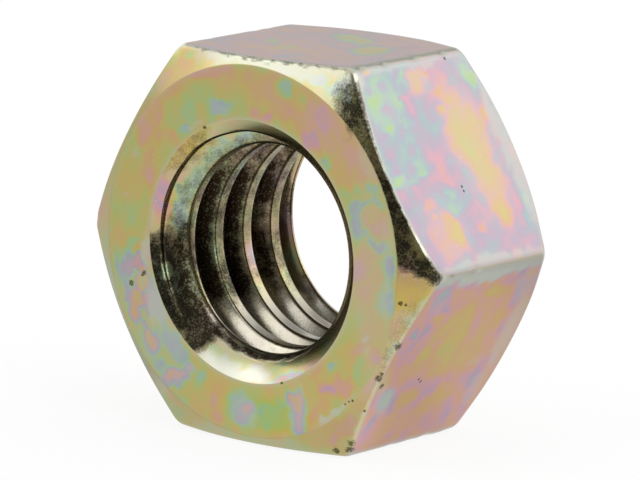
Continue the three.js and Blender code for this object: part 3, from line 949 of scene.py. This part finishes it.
def hidden_pits():
    """More pits, on the surfaces that face away."""
    dice = random.Random(13)
    pits = []
    for _ in range(HIDDEN_PITS):
        directions, distance = SURFACES[dice.choice(STRAY_SURFACES)]
        along, across, outwards = (Vector(direction) for direction in directions)
        spot = along * dice.uniform(*PIT_ALONG) + across * dice.uniform(*PIT_ACROSS)
        pits.append((*(spot + outwards * (distance / MM)), dice.uniform(*PIT_SIZES)))
    return pits


def new_shader(block):
    """The empty node tree of a new material or world."""
    block.use_nodes = True
    block.node_tree.nodes.clear()
    return Tree(block.node_tree.nodes, block.node_tree.links)


def plating():
    """Zinc under a yellow passivation film, whose thickness gives it the colours of oil on water."""
    material = bpy.data.materials.new("yellow_passivated_zinc")
    tree = new_shader(material)
    place = tree.add("ShaderNodeTexCoord", output="Object")
    cloud = tree.noise(place, *CLOUD_NOISE)
    mottle = tree.noise(place, *MOTTLE_NOISE)
    grain = tree.noise(place, *GRAIN_NOISE)
    speck = step(tree.noise(place, *SPECK_NOISE), *SPECK_EDGE)
    glint = step(tree.noise(place, *GLINT_NOISE), *GLINT_EDGE)
    cloud_swing = cloud - 0.5
    grain_swing = grain - 0.5
    satin = tree.attribute("satin")
    soil = tree.attribute("soil")

    near_pit = None
    for *pit_place, size in PITS + hidden_pits():
        spot = CENTRE + Vector(pit_place) * MM
        off = tree.vector("DISTANCE", place, spot, "Value")
        near = 1.0 - off / (size * MM)
        near_pit = near if near_pit is None else near_pit.math("MAXIMUM", near)
    pit = step(near_pit + grain_swing * PIT_GRAIN, *PIT_EDGE)

    film = tree.attribute("film") + cloud_swing * PHASE_CLOUD + grain_swing * PHASE_GRAIN
    tone = tree.add("ShaderNodeValToRGB", {"stops": FILM_TONES}, {0: film.math("FRACT")})
    grey = tree.attribute("grey") + cloud_swing * GREY_CLOUD + speck * soil * GREY_SPECK
    pale = tree.mix((grey + glint * GREY_GLINT).clamp(), tone, BARE_ZINC)
    # The dark places: old oil and pits, painted shade in the hole, and painted reflections on the chamfer
    ragged = soil * DIRT_AND_SHADE_LEVEL + (mottle - 0.5) * DIRT_AND_SHADE_MOTTLE + grain_swing
    dirt_and_shade = ragged.clamp() * (soil * DIRT_AND_SHADE_ONSET).clamp() * (1.0 - speck * DIRT_AND_SHADE_SPECK)
    dirt_and_shade = dirt_and_shade.math("MAXIMUM", pit * (PIT_DIRT - speck * PIT_SPECK))
    # Painted shade: the dark tone is darker in the thread's hollows
    oil = tree.mix(tree.attribute("hollow"), OIL_AND_SHADE_TONE, HOLLOW_OIL_AND_SHADE_TONE)
    colour = tree.mix(dirt_and_shade, pale, oil)
    roughness = satin * ROUGH_SATIN + cloud_swing * ROUGH_CLOUD + dirt_and_shade * ROUGH_DIRT
    height = grain * (BUMP_GRAIN - satin * BUMP_SATIN) + cloud * BUMP_CLOUD - pit * BUMP_PIT
    height = height + mottle * soil * BUMP_MOTTLE + grain * soil * BUMP_SOIL
    normal = tree.add("ShaderNodeBump", inputs={
        "Strength": BUMP_STRENGTH,
        "Distance": BUMP_HEIGHT,
        "Height": height,
    })
    shader = tree.add("ShaderNodeBsdfPrincipled", inputs={
        "Base Color": colour,
        "Metallic": 1.0,
        "Roughness": roughness + ROUGHNESS,
        "Normal": normal,
    })
    tree.add("ShaderNodeOutputMaterial", inputs={0: shader})
    return material


def step(value, at, width):
    """0 below a level and 1 above it, with a soft edge of some width."""
    return ((value - at) / width + 0.5).clamp()


# Parts of the studio. Each one is where all its limits hold, and a limit is a direction from the
# nut, the cosine of the angle from it at which the part ends, and how soft that end is.
ROOM = [((0.922, -0.345, -0.177), 0.08, 0.05), ((0, -1, 0), 0.42, 0.12), ((0, 0, 1), -0.14, 0.08)]
LEFT_BOX = [((-0.6, -0.56, 0.57), 0.945, 0.05)]
FRONT_BOX = [((-0.25, -0.8, 0.55), 0.95, 0.05)]
LOW_DARKNESS = [((0, 0, -1), 0.5, 0.2), ((0, -1, 0), -0.3, 0.2), ((0, 1, 0), -0.56, 0.1)]

# The light of the left and front boxes, which doesn't add up, and the other boxes with theirs
LEFT_LIGHT = 0.88
FRONT_LIGHT = 0.85
BOXES = [
    (0.22, [((-0.88, -0.3, 0.37), 0.98, 0.04)]),
    (1.7, [((0.8, -0.14, 0.6), 0.86, 0.14)]),
    (0.74, [((0.478, 0.755, 0.448), 0.9, 0.1), ((-1, 0, 0), -0.59, 0.06)]),
    (0.5, [((-0.86, 0.4, 0.22), 0.965, 0.03)]),
    (0.6, [((-0.9, -0.02, 0.43), 0.985, 0.02)]),
    (0.5, [((-0.63, -0.4, 0.66), 0.991, 0.008)]),
    (0.32, [((0.7, -0.3, -0.63), 0.962, 0.02)]),
]

# Darker parts, with the share of the light that is missing there
DARK_PARTS = [
    (0.27, [((-1, 0, 0), 0.74, 0.2), ((0, 0, -1), -0.22, 0.08), ((0, -1, 0), -0.3, 0.1)]),
    (0.14, LOW_DARKNESS),
    (0.1, [*LOW_DARKNESS, ((-1, 0, 0), 0.3, 0.4), ((0, 0, -1), 0.55, 0.1)]),
    (0.1, [((-0.627, 0.755, 0.19), 0.9, 0.12)]),
    (0.25, [((0.6, 0.756, -0.25), 0.965, 0.03)]),
    (0.5, [((-0.35, 0.756, 0.55), 0.98, 0.02)]),
    (0.35, [((-0.6255, 0.55, 0.55), 0.975, 0.02)]),
]
WALL_LIGHT = 1.06
ROOM_DARKNESS = 0.75

WHITE = (1, 1, 1, 1)
PAPER = (0.8, 0.8, 0.8, 1)
PAPER_GLOW = 0.88


def studio_light(tree, direction):
    """How bright the studio is in a direction from the nut: soft boxes, and the dark room."""
    def part(limits):
        inside = 1
        for aim, cosine, softness in limits:
            along = tree.vector("DOT_PRODUCT", direction, Vector(aim).normalized(), "Value")
            inside = step(along, cosine, softness) * inside
        return inside

    room = part(ROOM)
    light = (part(LEFT_BOX) * LEFT_LIGHT).math("MAXIMUM", part(FRONT_BOX) * FRONT_LIGHT)
    for strength, limits in BOXES:
        light = light + part(limits) * strength
    light = WALL_LIGHT * (1.0 - room * ROOM_DARKNESS) + light * (1.0 - room)
    dark = sum(part(limits) * missing for missing, limits in DARK_PARTS)
    return light * (1.0 - dark)


def floor_material():
    """White paper that glows, and whose mirror image in the nut is the studio's light."""
    material = bpy.data.materials.new("white_paper")
    tree = new_shader(material)
    rays = tree.add("ShaderNodeLightPath")
    glossy = tree.other(rays, "Is Glossy Ray")
    seen = (rays + tree.other(rays, "Is Transmission Ray")).clamp()
    place = tree.add("ShaderNodeNewGeometry")
    away = tree.vector("SUBTRACT", place, CENTRE)
    mirrored = studio_light(tree, tree.vector("NORMALIZE", away))
    paper = tree.add("ShaderNodeBsdfDiffuse", inputs={"Color": PAPER})
    strength = glossy * mirrored + (1.0 - glossy)
    glow = tree.add("ShaderNodeEmission", inputs={"Color": WHITE, "Strength": strength})
    glowing = (seen * PAPER_GLOW + glossy).clamp()
    shown = tree.add("ShaderNodeMixShader", inputs={0: glowing, 1: paper, 2: glow})
    tree.add("ShaderNodeOutputMaterial", inputs={0: shown})
    return material


# --- Studio ---
# The camera, with its angles in radians, and its focal length and shifts from pixels of its picture
CAMERA_TURN = math.radians(39.6)
CAMERA_RISE = math.radians(11.08)
CAMERA_ROLL = math.radians(0.62)
CAMERA_REACH = 15.45 * ACROSS_FLATS
FOCAL_PIXELS = 6009
PICTURE_WIDTH = 640
SENSOR = 36.0
SHIFT_X = 1.5 / PICTURE_WIDTH
SHIFT_Y = -3.15 / PICTURE_WIDTH
CLIP_START = 0.01

FLOOR_REACH = 3.0
FLOOR_GAP = 0.002 * MM


def add_camera():
    data = bpy.data.cameras.new("camera")
    data.sensor_width = SENSOR
    data.lens = FOCAL_PIXELS / PICTURE_WIDTH * SENSOR
    data.shift_x = SHIFT_X
    data.shift_y = SHIFT_Y
    data.clip_start = CLIP_START
    camera = new_object("camera", data)
    level = Vector((math.sin(CAMERA_TURN), -math.cos(CAMERA_TURN), 0))
    back = level * math.cos(CAMERA_RISE) + Vector((0, 0, math.sin(CAMERA_RISE)))
    right = Vector((math.cos(CAMERA_TURN), math.sin(CAMERA_TURN), 0))
    up = back.cross(right)
    tilted_right = right * math.cos(CAMERA_ROLL) + up * math.sin(CAMERA_ROLL)
    tilted_up = up * math.cos(CAMERA_ROLL) - right * math.sin(CAMERA_ROLL)
    axes = Matrix((tilted_right, tilted_up, back)).transposed()
    camera.matrix_world = Matrix.Translation(CENTRE + back * CAMERA_REACH) @ axes.to_4x4()
    bpy.context.scene.camera = camera


def add_floor():
    mesh = bpy.data.meshes.new("floor")
    corners = [(-1, -1), (1, -1), (1, 1), (-1, 1)]
    points = [(x * FLOOR_REACH, y * FLOOR_REACH, LOW.z - FLOOR_GAP) for x, y in corners]
    mesh.from_pydata(points, [], [(0, 1, 2, 3)])
    mesh.materials.append(floor_material())
    new_object("floor", mesh)


def add_world():
    world = bpy.data.worlds.new("studio")
    tree = new_shader(world)
    rays = tree.add("ShaderNodeLightPath")
    seen = (rays + tree.other(rays, "Is Transmission Ray")).clamp()
    light = studio_light(tree, tree.add("ShaderNodeTexCoord", output="Generated"))
    strength = light + seen * (1.0 - light)
    glow = tree.add("ShaderNodeBackground", inputs={"Color": WHITE, "Strength": strength})
    tree.add("ShaderNodeOutputWorld", inputs={0: glow})
    bpy.context.scene.world = world


def main():
    add_camera()
    add_floor()
    add_world()
    group, sizes = thread_tree(plating())
    nut = evaluated_copy("nut", blank_mesh(), group, sizes)
    face_outwards(nut.data)
    knock(nut.data)
    lay_film(nut.data)
    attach(nut, "root")
    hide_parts(NODE)
    bpy.context.scene.view_settings.view_transform = "Standard"


main()
